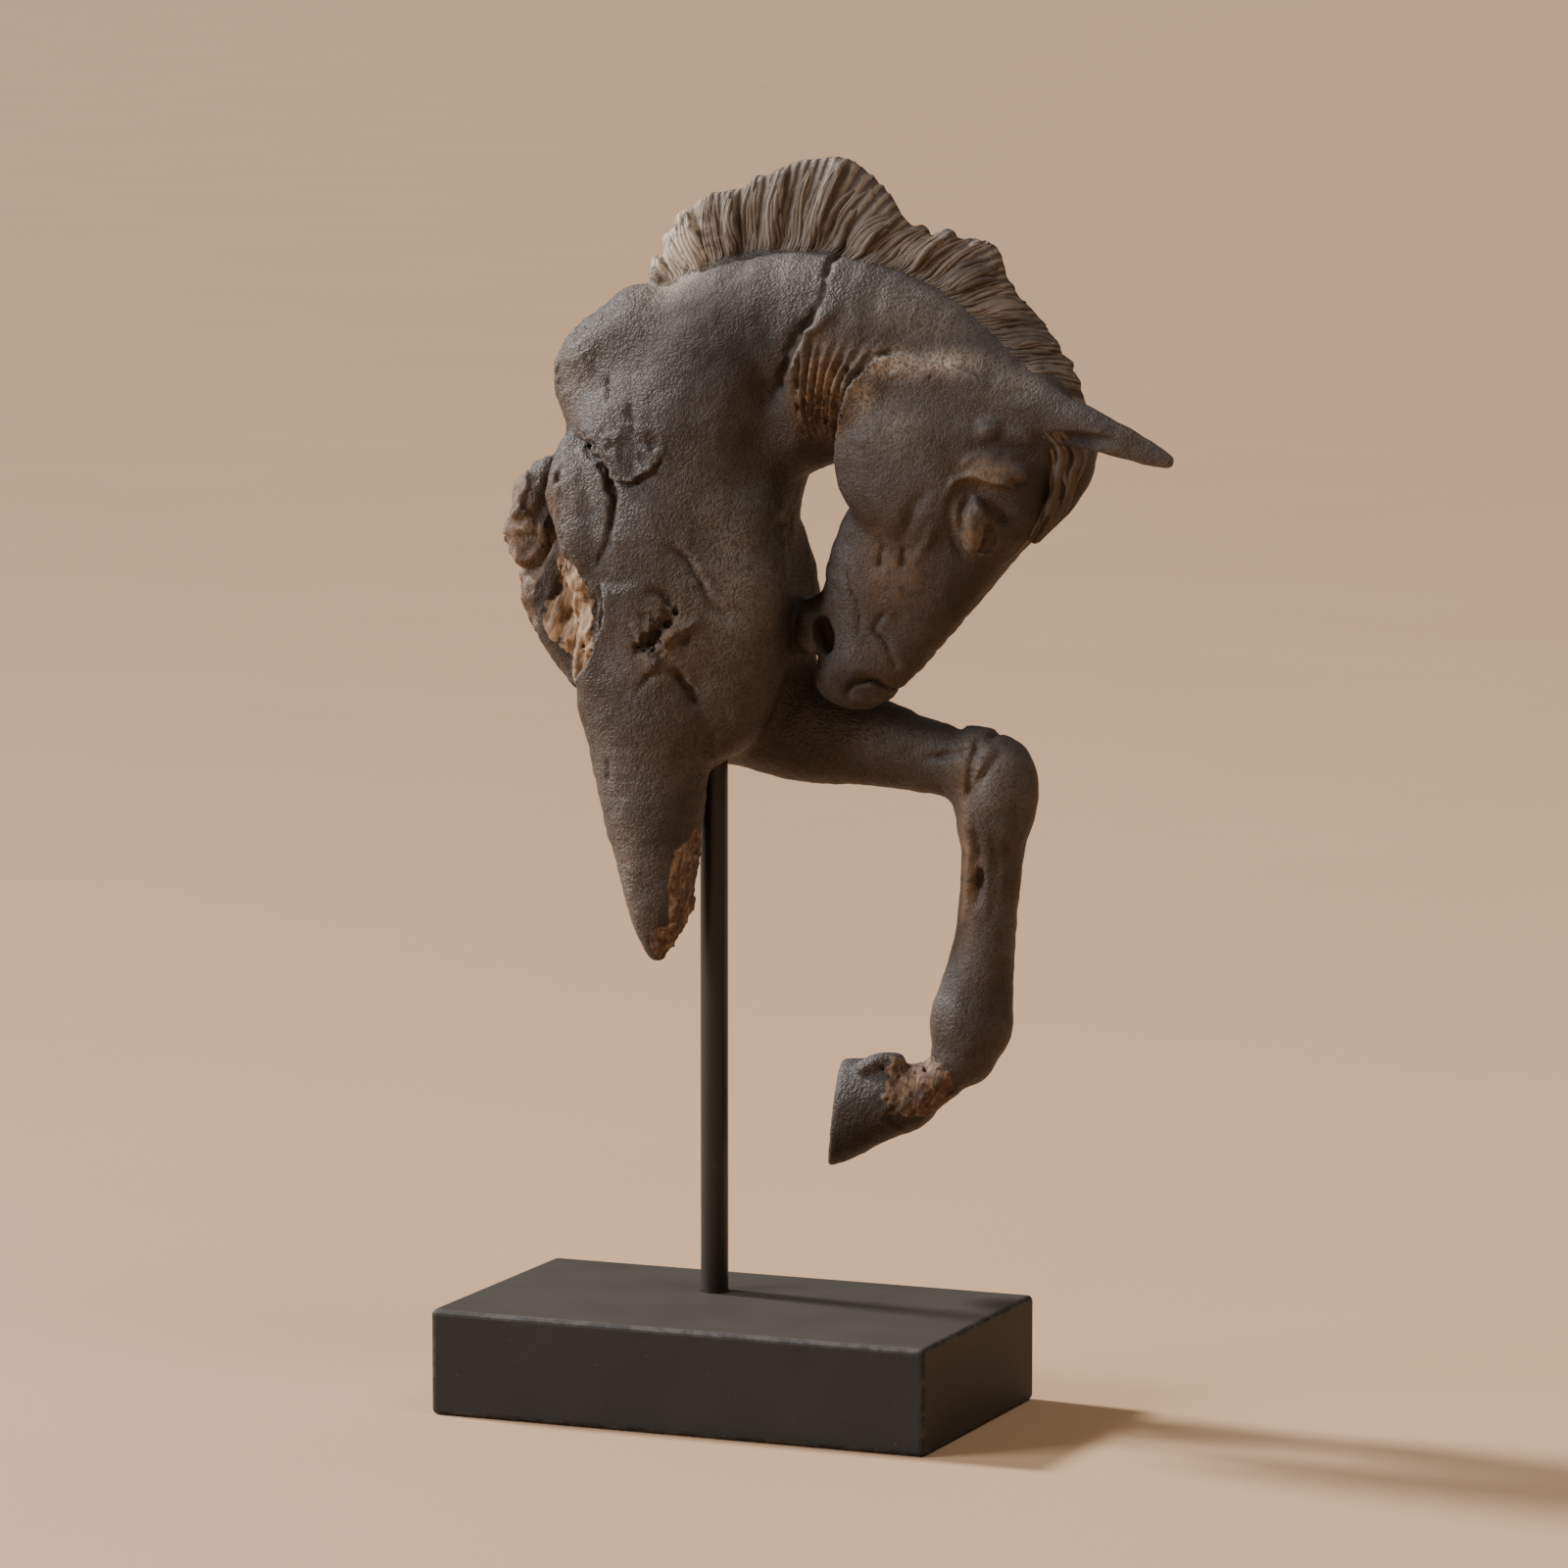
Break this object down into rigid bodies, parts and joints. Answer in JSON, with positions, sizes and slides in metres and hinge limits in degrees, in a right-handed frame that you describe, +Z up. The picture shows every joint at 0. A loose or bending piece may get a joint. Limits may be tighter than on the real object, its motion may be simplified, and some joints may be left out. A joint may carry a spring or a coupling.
{
  "type": "resin horse statue",
  "caption": "Broken cast of a horse's arched neck, tucked head and raised foreleg, held up by a thin rod in a plain block.",
  "frame": {"origin": "middle of the base block's underside", "axes": "+Z up, +X the way the horse faces, along the block's length, -Y the near side with the broken foreleg"},
  "size_m": [0.2605, 0.1092, 0.4501],
  "materials": {
    "horse": "cast resin, dark brown-grey, wrinkled like old hide, with raw tan and rust patches at the breaks",
    "rod": "satin black",
    "base": "matt black paint with lightly worn edges"
  },
  "bodies": {
    "root": {"horse": "horse", "rod": "rod", "base": "base"}
  },
  "joints": []
}
